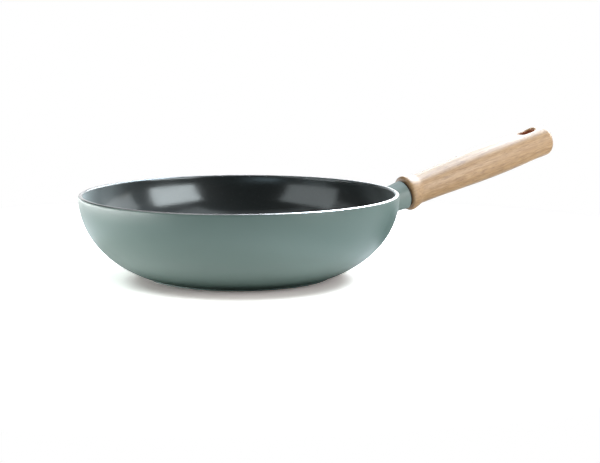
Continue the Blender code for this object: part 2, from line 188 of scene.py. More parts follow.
def add_node(tree, kind, inputs=(), **properties):
    """Adds a node. inputs are (socket, value or output) pairs."""
    made = tree.nodes.new("ShaderNode" + kind)
    for name, value in properties.items():
        setattr(made, name, value)
    fill(tree, made, inputs)
    return made


def fill(tree, made, inputs):
    """Sets or links the inputs of a node."""
    for name, value in inputs:
        if isinstance(value, bpy.types.NodeSocket):
            tree.links.new(value, made.inputs[name])
        else:
            made.inputs[name].default_value = value


# %% [markdown]
# Every material starts from the same three things: a place on the object, a noise that changes
# from place to place, and two colours that the noise blends.

# %% Places, noise and blends
def own_place(tree):
    """The coordinates of the object itself, in metres."""
    return add_node(tree, "TexCoord").outputs["Object"]


def blend_colours(tree, factor, dark, light):
    """The output that goes from one colour to the other with the factor."""
    mix = add_node(tree, "Mix", data_type="RGBA")
    fill(tree, mix, [("Factor", factor), (6, (*dark, 1.0)), (7, (*light, 1.0))])
    return mix.outputs[2]


def noise_at(tree, coordinates, scale, detail=2.0, stretch=(1.0, 1.0, 1.0)):
    """A noise with scale waves to the metre. A small stretch draws them out along its axis."""
    mapping = add_node(tree, "Mapping", [("Vector", coordinates), ("Scale", stretch)])
    inputs = [("Vector", mapping.outputs["Vector"]), ("Scale", scale), ("Detail", detail)]
    return add_node(tree, "TexNoise", inputs).outputs["Fac"]


# %% [markdown]
# A pattern is a number at every point, so we can do sums with it. The most useful one moves a
# range to another range, level at both ends, so that no hard line shows where it stops. A noise
# hovers about a half and seldom leaves NOISE_SPAN, so for uneven gloss that is what we move.

# %% Maths, ranges and bumps
NOISE_SPAN = (0.3, 0.7)


def maths(tree, operation, *inputs):
    """The output of a Math node."""
    return add_node(tree, "Math", list(enumerate(inputs)), operation=operation).outputs[0]


def vector_maths(tree, operation, output, *inputs):
    """An output of a Vector Math node: Vector, or Value for a length, a distance or a product."""
    made = add_node(tree, "VectorMath", list(enumerate(inputs)), operation=operation)
    return made.outputs[output]


def ranged(tree, value, low, high, to_low, to_high):
    """The value's range from low to high moved to another range, smoothly and without overshoot."""
    inputs = [("Value", value), ("From Min", low), ("From Max", high)]
    inputs += [("To Min", to_low), ("To Max", to_high)]
    made = add_node(tree, "MapRange", inputs, interpolation_type="SMOOTHSTEP")
    return made.outputs["Result"]


def rising(tree, value, span):
    """Goes from 0 to 1 while the value crosses the span."""
    return ranged(tree, value, *span, 0.0, 1.0)


def falling(tree, value, span):
    """Goes from 1 to 0 while the value crosses the span."""
    return ranged(tree, value, *span, 1.0, 0.0)


def uneven(tree, noise, low, high):
    """A value that drifts between low and high with a noise, which seldom leaves NOISE_SPAN."""
    return ranged(tree, noise, *NOISE_SPAN, low, high)


def bumped(tree, height, depth):
    """A normal that makes the height pattern look as deep as depth, in metres."""
    return add_node(tree, "Bump", [("Height", height), ("Distance", depth)]).outputs["Normal"]


# %% [markdown]
# ## Paint, bare metal and ceramic
# The outside is a satin lacquer in a grey sage green. Real lacquer is never quite even: it has
# a faint orange-peel skin and its gloss drifts a little.

# %% Sage lacquer
SAGE = (0.095, 0.140, 0.125)
SAGE_SHADE = (0.090, 0.133, 0.119)
DRIFT_WAVES = 30.0
PEEL_WAVES = 900.0
PEEL_DEPTH = 0.00002


def sage_lacquer(name, colours=(SAGE_SHADE, SAGE)):
    """Satin paint with a faint orange peel."""
    material, tree, shader = new_material(name)
    place = own_place(tree)
    drift = noise_at(tree, place, DRIFT_WAVES)
    peel = noise_at(tree, place, PEEL_WAVES)
    fill(tree, shader, [
        ("Base Color", blend_colours(tree, drift, *colours)),
        ("Roughness", uneven(tree, drift, 0.35, 0.40)),
        ("Normal", bumped(tree, peel, PEEL_DEPTH)),
        ("IOR", 1.45),
        ("Specular IOR Level", 0.4),
    ])
    return material


sage_paint = sage_lacquer("sage_paint")
print("The lacquer's skin has a wave every", round(1000 / PEEL_WAVES, 1), "mm")

# %% [markdown]
# The lip is bare aluminium that was polished on a lathe, so its fine lines run round the bowl. A
# pattern that depends only on the distance from the axis and on the height makes such lines. The
# underside of the foot is turned too, but coarser and duller.

# %% Turned aluminium
ALUMINIUM = (0.86, 0.865, 0.87)
FOOT_METAL = (0.70, 0.70, 0.70)
GROOVE_SHADE = 0.9
GROOVE_ROUGHNESS = 0.08


def turning_lines(tree, place, waves):
    """Fine lines that run round the axis, as a tool leaves them: they follow radius and height."""
    flat = vector_maths(tree, "MULTIPLY", "Vector", place, (1.0, 1.0, 0.0))
    radius = vector_maths(tree, "LENGTH", "Value", flat)
    height = add_node(tree, "SeparateXYZ", [("Vector", place)]).outputs["Z"]
    line = add_node(tree, "CombineXYZ", [("X", radius), ("Y", height)])
    return noise_at(tree, line.outputs["Vector"], waves, detail=4.0)


def turned_metal(name, colour, roughness, waves=2500.0, depth=0.000006, place_of=own_place):
    """Metal with the fine lines of a lathe. place_of gives the coordinates with the axis as Z."""
    material, tree, shader = new_material(name)
    lines = turning_lines(tree, place_of(tree), waves)
    shade = tuple(GROOVE_SHADE * part for part in colour)
    fill(tree, shader, [
        ("Base Color", blend_colours(tree, lines, shade, colour)),
        ("Roughness", uneven(tree, lines, roughness, roughness + GROOVE_ROUGHNESS)),
        ("Metallic", 1.0),
        ("Normal", bumped(tree, lines, depth)),
    ])
    return material


bare_lip = turned_metal("bare_lip", ALUMINIUM, roughness=0.20)
bare_foot = turned_metal("bare_foot", FOOT_METAL, roughness=0.32, waves=1200.0, depth=0.00002)
print("Turned aluminium is ready for the lip and for the foot")

# %% [markdown]
# The cooking surface is a dark ceramic coat. It is sprayed on and baked, so it is glassy, but
# with a fine pebble in its skin and tiny pale specks. Its colour is nearly black, and all that
# we see of it is what it mirrors, so its gloss matters more than its colour. Three layers do it:
# a glassy one with a cool tint, the shader's coat, which is rough and gives each mirrored lamp a
# soft border, and a sheen, which is the pale haze that we see where we look along the surface.

# %% Ceramic coat
CERAMIC = (0.0010, 0.0036, 0.0036)
CERAMIC_SPECK = (0.050, 0.054, 0.055)
CERAMIC_GLOSS = (0.86, 0.97, 1.0)
CERAMIC_HAZE = (0.82, 0.92, 0.90)
SPECK_WAVES = 1500.0
SPECK_SPAN = (0.66, 0.74)
PEBBLE_WAVES = 700.0
PEBBLE_DEPTH = 0.00004
CLOUD_WAVES = 45.0


def ceramic_coat(name):
    """Nearly black sprayed ceramic with tiny pale specks."""
    material, tree, shader = new_material(name)
    place = own_place(tree)
    specks = rising(tree, noise_at(tree, place, SPECK_WAVES), SPECK_SPAN)
    pebble = noise_at(tree, place, PEBBLE_WAVES)
    cloud = noise_at(tree, place, CLOUD_WAVES)
    fill(tree, shader, [
        ("Base Color", blend_colours(tree, specks, CERAMIC, CERAMIC_SPECK)),
        ("Roughness", uneven(tree, cloud, 0.13, 0.17)),
        ("Normal", bumped(tree, pebble, PEBBLE_DEPTH)),
        ("IOR", 1.8),
        ("Specular Tint", (*CERAMIC_GLOSS, 1.0)),
        ("Coat Weight", 0.5),
        ("Coat Roughness", 0.5),
        ("Coat IOR", 1.5),
        ("Sheen Weight", 0.62),
        ("Sheen Roughness", 0.45),
        ("Sheen Tint", (*CERAMIC_HAZE, 1.0)),
    ])
    return material


ceramic = ceramic_coat("ceramic")
print("The ceramic has a pebble every", round(1000 / PEBBLE_WAVES, 1), "mm")

# %% [markdown]
# ## The bowl
# The wall is one cubic curve between two ends, each with a handle that pulls it, as in Blender's
# own curves. It leaves the foot at a shallow slope and arrives at the rim upright. The inside is
# the same curve moved inward by the thickness of the wall, which grows towards the lip, and it
# runs into the flat floor with a soft blend instead of a corner.
# The sizes repeat those of the solid, and the rim and the height are read from it.

# %% Sizes of the bowl
bowl_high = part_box("wok_body")[1]
RIM_RADIUS = bowl_high.x
BOWL_HEIGHT = bowl_high.z
FOOT_RADIUS = 0.083
FOOT_STEP = 0.0012
FOOT_CHAMFER = 0.0004
WALL_START_ANGLE = math.radians(17)
FULLNESS = 0.52
BASE_THICKNESS = 0.005
WALL_THICKNESS = 0.0036
LIP_WIDTH = 0.0042
LIP_ROUND = 0.0018
LIP_BEGINS = 0.66
FLOOR_BLEND = 0.0016
FLOOR_RUN_IN = (12, 8, 5, 3, 2, 1)
WALL_STEPS = 56
LIP_STEPS = 8
BOWL_SEGMENTS = 288
print(f"Rim radius {1000 * RIM_RADIUS:.1f} mm, height {1000 * BOWL_HEIGHT:.1f} mm")


# %% Curves of the bowl
def wall_curve():
    """The outside of the wall from the foot to the rim: (point, direction) pairs."""
    foot = Vector((FOOT_RADIUS, FOOT_STEP))
    rim = Vector((RIM_RADIUS, BOWL_HEIGHT - LIP_ROUND))
    run = rim - foot
    pull_low = foot + FULLNESS * run.x * Vector((1.0, math.tan(WALL_START_ANGLE)))
    pull_high = rim - Vector((0.0, FULLNESS * run.y))
    curve = []
    for step in range(WALL_STEPS + 1):
        t = step / WALL_STEPS
        u = 1 - t
        point = u**3 * foot + 3 * u * u * t * pull_low + 3 * u * t * t * pull_high + t**3 * rim
        along = u * u * (pull_low - foot) + 2 * u * t * (pull_high - pull_low)
        along += t * t * (rim - pull_high)
        curve.append((point, along.normalized()))
    return curve


def wall_moved(distance_at):
    """The wall curve moved sideways, inward where the distance is positive."""
    moved = []
    for step, (point, along) in enumerate(wall_curve()):
        moved.append(point + distance_at(step / WALL_STEPS) * Vector((-along.y, along.x)))
    return moved


def wall_thickness(share):
    """The wall is even at first and thickens into the lip."""
    thickening = max(0.0, (share - LIP_BEGINS) / (1 - LIP_BEGINS))
    return WALL_THICKNESS + (LIP_WIDTH - WALL_THICKNESS) * thickening


print("The wall curve has", len(wall_curve()), "points")


# %% The inside and the lip's round
def inside_curve():
    """The cooking surface from the lip down to the flat floor."""
    points = wall_moved(wall_thickness)
    back = (points[0] - points[1]).normalized()
    run_in = [points[0] + back * FLOOR_BLEND * reach for reach in FLOOR_RUN_IN]
    curve = []
    for point in run_in + points:
        above = point.y - BASE_THICKNESS
        lift = 0.5 * (above + math.hypot(above, FLOOR_BLEND))
        curve.append(Vector((point.x, BASE_THICKNESS + lift)))
    curve[-1] = Vector((RIM_RADIUS - LIP_WIDTH, BOWL_HEIGHT - LIP_ROUND))
    return curve[::-1]


def quarter_round(centre, start_angle):
    """Points of a quarter of the lip's round."""
    angles = [start_angle + math.pi / 2 * step / LIP_STEPS for step in range(LIP_STEPS + 1)]
    return [centre + LIP_ROUND * Vector((math.cos(a), math.sin(a))) for a in angles]


print("The inside has", len(inside_curve()), "points")

# %% [markdown]
# Now the outline goes round once: foot, wall, lip, inside, middle. While we add each stretch we
# also note which finish it has. The lacquer goes half-way up the outer round of the lip, where
# the factory masks it before it turns the top bare, and the ceramic starts on the inner round.
# The foot is painted down to its edge, and only its underside is bare.

# %% Build the bowl
PAINT, LIP, COAT, FOOT = range(4)
PAINT_ENDS = 4
COAT_STARTS = 2


def bowl_outline():
    """The closed half section of the bowl, and the finish of each of its stretches."""
    top = BOWL_HEIGHT - LIP_ROUND
    under = [
        Vector((0.0, 0.0)),
        Vector((FOOT_RADIUS - FOOT_CHAMFER, 0.0)),
        Vector((FOOT_RADIUS, FOOT_CHAMFER)),
    ]
    outside = [point for point, _ in wall_curve()][:-1]
    outer_round = quarter_round(Vector((RIM_RADIUS - LIP_ROUND, top)), 0.0)
    inner_round = quarter_round(Vector((RIM_RADIUS - LIP_WIDTH + LIP_ROUND, top)), math.pi / 2)
    inside = inside_curve()[1:]
    points = under + outside + outer_round + inner_round + inside
    points.append(Vector((0.0, BASE_THICKNESS)))
    finishes = [FOOT] + [PAINT] * (len(under) - 1 + len(outside) + PAINT_ENDS)
    finishes += [LIP] * (len(outer_round) - PAINT_ENDS + COAT_STARTS)
    finishes += [COAT] * (len(points) - len(finishes))
    return points, finishes


points, finishes = bowl_outline()
bowl = finished(
    "bowl_shell",
    turned(points, BOWL_SEGMENTS, finishes),
    [sage_paint, bare_lip, ceramic, bare_foot],
)
print("The bowl's outline has", len(points), "points")

# %% [markdown]
# ## The foot and its steel plate
# Aluminium doesn't work on an induction hob. A thin plate of magnetic steel is therefore forged
# into the foot, and the soft aluminium flows up through its holes and locks it. From below one
# sees rings of bright dots in a grey disc. The plate and its pocket come from one function that
# draws a disc with holes: the pocket is a little wider and its posts are a little thinner. An
# extruded sheet doesn't list its faces in the same order every time, so we sort them by place,
# and every run makes the same mesh.

# %% A disc with holes
plate_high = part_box("induction_plate")[1]
PLATE_RADIUS = plate_high.x
PLATE_THICKNESS = plate_high.z
PLATE_GAP = 0.00015
HOLE_RADIUS = 0.003
HOLES_TO_EDGE = 0.012
HOLE_RINGS = 3
HOLES_IN_FIRST_RING = 6
HOLE_SEGMENTS = 24
OVERRUN = 0.002


def in_fixed_order(bm):
    """The same mesh with its vertices and faces sorted by place."""
    faces = [[tuple(vert.co) for vert in face.verts] for face in bm.faces]
    bm.free()
    ordered = bmesh.new()
    places = sorted({corner for corners in faces for corner in corners})
    verts = {place: ordered.verts.new(place) for place in places}
    for corners in sorted(faces, key=sorted):
        ordered.faces.new([verts[corner] for corner in corners])
    return ordered


def perforated_disc(radius, hole_radius, bottom, top):
    """A round plate with rings of round holes."""
    bm = bmesh.new()
    circles = [((0.0, 0.0), radius, BOWL_SEGMENTS)]
    for ring in range(1, HOLE_RINGS + 1):
        ring_radius = (PLATE_RADIUS - HOLES_TO_EDGE) * ring / HOLE_RINGS
        count = HOLES_IN_FIRST_RING * ring
        for index in range(count):
            angle = 2 * math.pi * (index + 0.5) / count
            middle = (ring_radius * math.cos(angle), ring_radius * math.sin(angle))
            circles.append((middle, hole_radius, HOLE_SEGMENTS))
    for (x, y), size, sides in circles:
        angles = [2 * math.pi * side / sides for side in range(sides)]
        circle = [(x + size * math.cos(a), y + size * math.sin(a), bottom) for a in angles]
        corners = [bm.verts.new(corner) for corner in circle]
        for a, b in zip(corners, corners[1:] + corners[:1]):
            bm.edges.new((a, b))
    bmesh.ops.triangle_fill(bm, edges=bm.edges, use_beauty=True, use_dissolve=False)
    sheet = bmesh.ops.extrude_face_region(bm, geom=bm.faces[:])
    raised = [item for item in sheet["geom"] if isinstance(item, bmesh.types.BMVert)]
    bmesh.ops.translate(bm, verts=raised, vec=(0, 0, top - bottom))
    return in_fixed_order(bm)


print("The plate has a radius of", round(1000 * PLATE_RADIUS, 1), "mm")

# %% Cut the pocket and make the plate
pocket_bm = perforated_disc(
    PLATE_RADIUS + PLATE_GAP,
    HOLE_RADIUS - PLATE_GAP,
    -OVERRUN,
    PLATE_THICKNESS + PLATE_GAP,
)
cut(bowl, finished("pocket", pocket_bm, [bare_foot]))
dress(bowl, "forged_aluminium_sage", "wok_body")

PLATE_METAL = (0.42, 0.42, 0.41)
plate_steel = turned_metal("plate_steel", PLATE_METAL, roughness=0.36, waves=900.0, depth=0.00002)
plate_bm = perforated_disc(PLATE_RADIUS, HOLE_RADIUS, 0.0, PLATE_THICKNESS)
plate = finished("steel_plate", plate_bm, [plate_steel])
dress(plate, "plate_steel", "induction_plate")

# %% [markdown]
# ## The handle's own space
# Neck and grip share one axis that leaves the wall and rises at a shallow angle. It is easiest to
# model them upright, along Z, and to tip the finished mesh into place with a matrix. A grain that
# runs along the grip needs the way back: the same matrix inverted takes a point of the tipped
# mesh to the upright one. A Mapping node does just that, a turn and then a shift.

# %% The handle's axis
UP = Vector((0.0, 0.0, 1.0))
AXIS_BELOW_RIM = 0.0233
HANDLE_RISE = math.radians(14.4)
handle_foot = Vector((RIM_RADIUS, 0.0, BOWL_HEIGHT - AXIS_BELOW_RIM))
handle_place = Matrix.Translation(handle_foot) @ Matrix.Rotation(math.pi / 2 - HANDLE_RISE, 4, "Y")
handle_axis = handle_place.to_3x3() @ UP
print("The handle rises along", [round(v, 3) for v in handle_axis])


def upright_place(tree):
    """Coordinates of the upright handle, with Z along the grip, on a piece that is in place."""
    back = handle_place.inverted()
    inputs = [("Vector", own_place(tree))]
    inputs += [("Location", back.translation), ("Rotation", back.to_euler())]
    return add_node(tree, "Mapping", inputs).outputs["Vector"]


# %% [markdown]
# ## The neck
# The neck is a short cast sleeve in the colour of the bowl. It swells a little towards the wood,
# ends in a small chamfer, and its root is shaped to the wall. To get that saddle shape we start
# the sleeve deep inside the bowl and cut away everything that lies within the bowl's outside.
# The same function makes the neck a paint of its own: the bowl's lacquer painted paler and
# greyer, painted light that makes the neck look brighter than the bowl.

# %% Outline of the neck
NECK_REACH = 0.0395
NECK_ROOT_RADIUS = 0.0120
NECK_END_RADIUS = 0.0138
NECK_WALL = 0.002
NECK_END_WALL = 0.004
NECK_CHAMFER = 0.0007
GASKET_THICKNESS = 0.0012
GASKET_INSET = 0.0008
NECK_GAP = 0.0002
ROOT_GAP = 0.00004
NECK_START = -0.037
NECK_STEPS = 24
ROUND_SEGMENTS = 128


def neck_outline():
    """Half section of the sleeve, with its bore and its end wall."""
    end = NECK_REACH - GASKET_THICKNESS - NECK_GAP
    bore = NECK_ROOT_RADIUS - NECK_WALL
    outline = [(bore, NECK_START), (NECK_ROOT_RADIUS, NECK_START)]
    for step in range(NECK_STEPS + 1):
        share = step / NECK_STEPS
        flare = (NECK_END_RADIUS - NECK_ROOT_RADIUS) * share**2
        outline.append((NECK_ROOT_RADIUS + flare, (end - NECK_CHAMFER) * share))
    outline.append((NECK_END_RADIUS - NECK_CHAMFER, end))
    outline += [(0.0, end), (0.0, end - NECK_END_WALL), (bore, end - NECK_END_WALL)]
    return outline


print("The neck's outline has", len(neck_outline()), "points")


# %% Build the neck
def bowl_space(material):
    """All that lies within the outside of the bowl, as a cutter."""
    skin = wall_moved(lambda share: -ROOT_GAP)
    top = BOWL_HEIGHT + OVERRUN
    outline = [Vector((0.0, skin[0].y))] + skin + [Vector((skin[-1].x, top)), Vector((0.0, top))]
    return finished("bowl_space", turned(outline, BOWL_SEGMENTS), [material])


# Painted light: the neck's sage is painted paler and greyer than the bowl's.
NECK_SAGE_PAINTED_LIGHT = (0.156, 0.196, 0.177)
NECK_SHADE_PAINTED_LIGHT = (0.148, 0.187, 0.169)
neck_paint_painted_light = sage_lacquer("neck_paint_painted_light", (NECK_SHADE_PAINTED_LIGHT, NECK_SAGE_PAINTED_LIGHT))
neck = finished("neck_casting", turned(neck_outline(), ROUND_SEGMENTS), [neck_paint_painted_light], handle_place)
cut(neck, bowl_space(neck_paint_painted_light))
print("The neck has", len(neck.data.polygons), "faces once its root fits the wall")

# %% [markdown]
# ## A flat-sided spigot
# The grip would turn on a round peg, so the bracket inside the neck ends in a bar with flat
# sides. Neck, gasket and grip all have a hole of that shape. One helper draws the bar.

# %% Cut the spigot's hole in the neck
SPIGOT_WIDTH = 0.014
SPIGOT_THICKNESS = 0.0106
SPIGOT_ROUND = 0.0012
SPIGOT_PLAY = 0.0003
SPIGOT_IN_GRIP = 0.024
CORNER_STEPS = 6


def spigot_space(low, high, material):
    """A bar with rounded corners along the handle's axis, as a cutter."""
    bm = bmesh.new()
    corner = SPIGOT_ROUND + SPIGOT_PLAY
    half_x = SPIGOT_THICKNESS / 2 + SPIGOT_PLAY - corner
    half_y = SPIGOT_WIDTH / 2 + SPIGOT_PLAY - corner
    loops = []
    for height in (low, high):
        loop = []
        for turn, (sign_x, sign_y) in enumerate(((1, 1), (-1, 1), (-1, -1), (1, -1))):
            for step in range(CORNER_STEPS + 1):
                angle = math.pi / 2 * (turn + step / CORNER_STEPS)
                x = sign_x * half_x + corner * math.cos(angle)
                y = sign_y * half_y + corner * math.sin(angle)
                loop.append(bm.verts.new((x, y, height)))
        loops.append(loop)
    bar_between(bm, *loops)
    return finished("spigot_space", bm, [material], handle_place)


end_wall_starts = NECK_REACH - GASKET_THICKNESS - NECK_END_WALL
cut(neck, spigot_space(end_wall_starts - OVERRUN, NECK_REACH + OVERRUN, neck_paint_painted_light))
dress(neck, "neck_aluminium_sage", "neck_sleeve")

# %% [markdown]
# Between neck and wood lies a thin ring of silicone rubber. It keeps dishwater out of the joint
# and gives a little when the wood swells. It is slightly narrower than the neck, so it shows as a
# dark line in a groove. Rubber is matt and dusty: very dark, rough, and a little uneven.

# %% Make the gasket
RUBBER = (0.022, 0.020, 0.019)
RUBBER_DUST = (0.034, 0.031, 0.029)
DUST_WAVES = 1800.0
DUST_DEPTH = 0.00002


def silicone_rubber(name):
    """Matt dark rubber with a dusty skin."""
    material, tree, shader = new_material(name)
    place = own_place(tree)
    dust = noise_at(tree, place, DUST_WAVES)
    fill(tree, shader, [
        ("Base Color", blend_colours(tree, dust, RUBBER, RUBBER_DUST)),
        ("Roughness", uneven(tree, dust, 0.55, 0.68)),
        ("Normal", bumped(tree, dust, DUST_DEPTH)),
    ])
    return material


silicone = silicone_rubber("silicone")
gasket_radius = NECK_END_RADIUS - GASKET_INSET
gasket_low = NECK_REACH - GASKET_THICKNESS - NECK_GAP / 2
gasket_high = NECK_REACH - NECK_GAP / 2
gasket_outline = [
    (0.0, gasket_low),
    (gasket_radius, gasket_low),
    (gasket_radius, gasket_high),
    (0.0, gasket_high),
]
gasket = finished("gasket_ring", turned(gasket_outline, ROUND_SEGMENTS), [silicone], handle_place)
cut(gasket, spigot_space(gasket_low - OVERRUN, gasket_high + OVERRUN, silicone))
dress(gasket, "silicone", "neck_gasket")

# %% [markdown]
# ## Beech
# The grip is a light wood with a calm grain: beech. A trunk is a stack of cones, so wood is best
# painted as a solid and not as a skin. We measure how far each point is from the pith, which
# lies well outside the grip, and let the rings wander with a slow noise, because rings that keep
# their distance look printed. Long streaks and the short dashes that mark beech are noise that
# is stretched along the grain: dark where it is high, and pale where it is low.

# %% Colours and patterns of beech
BEECH = (0.358, 0.213, 0.092)
BEECH_DARK = (0.280, 0.157, 0.062)
DASH_DARK = (0.140, 0.067, 0.022)
DASH_PALE = (0.440, 0.283, 0.136)
END_GRAIN = (0.235, 0.116, 0.039)
PITH = (0.045, -0.030, 0.0)
TRUNK_TAPER = 0.04
RING_SPACING = 0.0031
RING_WANDER = 0.011
WANDER_WAVES = 45.0
WANDER_STRETCH = 0.12


def along_grain(tree, place, waves, stretch, detail=3.0):
    """A noise whose waves are drawn out along the grip, by 1 / stretch."""
    return noise_at(tree, place, waves, detail=detail, stretch=(1.0, 1.0, stretch))


def growth_rings(tree, place):
    """Rings about the pith, 0 in early wood and 1 in late wood."""
    from_pith = vector_maths(tree, "SUBTRACT", "Vector", place, PITH)
    leaning = vector_maths(tree, "MULTIPLY", "Vector", from_pith, (1.0, 1.0, TRUNK_TAPER))
    distance = vector_maths(tree, "LENGTH", "Value", leaning)
    wander = along_grain(tree, place, WANDER_WAVES, WANDER_STRETCH)
    wandered = maths(tree, "MULTIPLY_ADD", wander, RING_WANDER, distance)
    turns = maths(tree, "MULTIPLY", wandered, 2 * math.pi / RING_SPACING)
    return rising(tree, maths(tree, "SINE", turns), (-1.0, 1.0))


def tinted(tree, factor, weight, body, tint):
    """The body's colour, drawn towards a tint where the factor is high."""
    strength = maths(tree, "MULTIPLY", factor, weight)
    mix = add_node(tree, "Mix", data_type="RGBA")
    fill(tree, mix, [("Factor", strength), (6, body), (7, (*tint, 1.0))])
    return mix.outputs[2]


# %% [markdown]
# Where the wood is cut across, its open pores drink more oil, so end grain is darker and redder.
# The normal of the surface tells how far the cut goes across the grain: its share along the
# grip's axis is 1 on the tail, -1 on the front face, and 0 along the sides. On top lies a thin
# satin varnish, which is the shader's coat, and a faint sheen lightens the wood where we look
# along it.

# %% Beech material
STREAK_WAVES = 650.0
STREAK_STRETCH = 0.05
STREAK_DEPTH = 0.00004
RING_SHARE = 0.08
GRAIN_SPAN = (0.32, 0.82)
DASH_WAVES = 900.0
DASH_STRETCH = 0.13
DARK_DASHES = (0.57, 0.68)
PALE_DASHES = (0.32, 0.43)
DARK_WEIGHT = 0.45
PALE_WEIGHT = 0.55
TAIL_TURNS = (0.22, 0.65)
FRONT_TURNS = (-0.95, -0.50)
TAIL_WEIGHT = 0.80
FRONT_WEIGHT = 0.85


def beech_wood(name):
    """Varnished beech with rings, streaks, dashes and darker end grain."""
    material, tree, shader = new_material(name)
    place = upright_place(tree)
    streaks = along_grain(tree, place, STREAK_WAVES, STREAK_STRETCH)
    grain = maths(tree, "MULTIPLY_ADD", growth_rings(tree, place), RING_SHARE, streaks)
    body = blend_colours(tree, rising(tree, grain, GRAIN_SPAN), BEECH, BEECH_DARK)
    dashes = along_grain(tree, place, DASH_WAVES, DASH_STRETCH, detail=1.0)
    body = tinted(tree, rising(tree, dashes, DARK_DASHES), DARK_WEIGHT, body, DASH_DARK)
    body = tinted(tree, falling(tree, dashes, PALE_DASHES), PALE_WEIGHT, body, DASH_PALE)
    normal = add_node(tree, "TexCoord").outputs["Normal"]
    along = vector_maths(tree, "DOT_PRODUCT", "Value", normal, handle_axis)
    body = tinted(tree, rising(tree, along, TAIL_TURNS), TAIL_WEIGHT, body, END_GRAIN)
    body = tinted(tree, falling(tree, along, FRONT_TURNS), FRONT_WEIGHT, body, END_GRAIN)
    fill(tree, shader, [
        ("Base Color", body),
        ("Roughness", uneven(tree, streaks, 0.48, 0.60)),
        ("Normal", bumped(tree, streaks, STREAK_DEPTH)),
        ("IOR", 1.45),
        ("Coat Weight", 0.9),
        ("Coat Roughness", 0.42),
        ("Coat IOR", 1.5),
        ("Sheen Weight", 0.25),
        ("Sheen Roughness", 0.3),
    ])
    return material


beech = beech_wood("beech")
print("Beech has a ring every", 1000 * RING_SPACING, "mm")

# %% [markdown]
# Slot and bores are cut after varnishing, so their walls get a second wood without varnish.
# It is painted darker and redder than the grip: painted shade for the inside of the recesses.

# %% Raw wood
# Painted shade: the walls of the slot and the bores are coloured darker and redder than the grip.
CUT_SHADE_DARK = (0.190, 0.055, 0.023)
CUT_SHADE_PALE = (0.400, 0.130, 0.057)
FIBRE_WAVES = 700.0
FIBRE_STRETCH = 0.15
FIBRE_DEPTH = 0.0001


def cut_wood_painted_shade(name):
    """The raw walls of the slot and of the bores, painted dark and red-brown as shade."""
    material, tree, shader = new_material(name)
    fibres = along_grain(tree, upright_place(tree), FIBRE_WAVES, FIBRE_STRETCH)
    fill(tree, shader, [
        ("Base Color", blend_colours(tree, fibres, CUT_SHADE_DARK, CUT_SHADE_PALE)),
        ("Roughness", uneven(tree, fibres, 0.60, 0.75)),
        ("Specular IOR Level", 0.2),
        ("Normal", bumped(tree, fibres, FIBRE_DEPTH)),
    ])
    return material


beech_cut_painted_shade = cut_wood_painted_shade("beech_cut_painted_shade")
print("Raw wood has a fibre every", round(1000 / FIBRE_WAVES, 1), "mm")

# %% [markdown]
# ## The grip
# The grip is turned: a bead at the front, a waist behind it, a slow belly and a rounded tail.
# Its radius goes from station to station with an ease, so the line has no kink. A slot for a
# hook goes through it near the tail, and its mouths are softened with a quarter round. To make
# that round on a curved surface we don't bevel the cut. We first press the surface down round
# the slot, by just as much as a quarter circle drops, and then cut straight through. Near the
# slot the rings of the lathe stand close together so that the round is smooth.

# %% Sizes of the grip
GRIP_LENGTH = 0.18096
FRONT_ROUND = 0.003
FLANGE_RADIUS = 0.0170
WAIST_RADIUS = 0.0141
WAIST_AT = 0.016
BELLY_RADIUS = 0.0165
BELLY_FROM_TAIL = 0.070
TAIL_RADIUS = 0.0157
TAIL_ROUND = 0.007
SLOT_LENGTH = 0.021
SLOT_WIDTH = 0.012
SLOT_TO_TAIL = 0.0142
SLOT_LIP_ROUND = 0.0022
grip_tail = NECK_REACH + GRIP_LENGTH
slot_middle = grip_tail - SLOT_TO_TAIL - SLOT_LENGTH / 2
GRIP_SEGMENTS = 256
FINE_STEP = 0.0004
COARSE_STEP = 0.0015
TAIL_STEPS = 16
FRONT_STEPS = 8
FINE_MARGIN = 1.5 * SLOT_LIP_ROUND
SLOT_END_STEPS = 32
print("The slot's middle is", round(1000 * slot_middle, 1), "mm out along the handle")


# %% Outline of the grip
def eased(share):
    """Goes from 0 to 1, level at both ends."""
    return share * share * (3 - 2 * share)


def grip_radius(place):
    """Radius of the turned grip between its front round and its tail round."""
    stations = [
        (FRONT_ROUND, FLANGE_RADIUS),
        (WAIST_AT, WAIST_RADIUS),
        (GRIP_LENGTH - BELLY_FROM_TAIL, BELLY_RADIUS),
        (GRIP_LENGTH - TAIL_ROUND, TAIL_RADIUS),
    ]
    for low, high in zip(stations, stations[1:]):
        if place <= high[0]:
            return low[1] + eased((place - low[0]) / (high[0] - low[0])) * (high[1] - low[1])
    return TAIL_RADIUS


def grip_outline():
    """Half section of the grip along the handle's axis."""
    outline = [(0.0, 0.0)]
    for step in range(FRONT_STEPS):
        angle = math.pi / 2 * step / FRONT_STEPS
        radius = FLANGE_RADIUS - FRONT_ROUND * (1 - math.sin(angle))
        outline.append((radius, FRONT_ROUND * (1 - math.cos(angle))))
    place = FRONT_ROUND
    while place < GRIP_LENGTH - TAIL_ROUND - FINE_STEP / 2:
        outline.append((grip_radius(place), place))
        near_slot = abs(NECK_REACH + place - slot_middle) < SLOT_LENGTH / 2 + FINE_MARGIN
        place += FINE_STEP if near_slot else COARSE_STEP
    for step in range(TAIL_STEPS + 1):
        angle = math.pi / 2 * step / TAIL_STEPS
        drop = TAIL_ROUND * (1 - math.cos(angle))
        outline.append((TAIL_RADIUS - drop, GRIP_LENGTH - TAIL_ROUND * (1 - math.sin(angle))))
    outline.append((0.0, GRIP_LENGTH))
    return [(radius, NECK_REACH + place) for radius, place in outline]


print("The grip's outline has", len(grip_outline()), "points")


# %% Soften the mouths of the slot
def from_slot(y, z):
    """Distance of a point from the slot's outline, negative inside it."""
    half_straight = (SLOT_LENGTH - SLOT_WIDTH) / 2
    beyond = max(0.0, abs(z - slot_middle) - half_straight)
    return math.hypot(y, beyond) - SLOT_WIDTH / 2


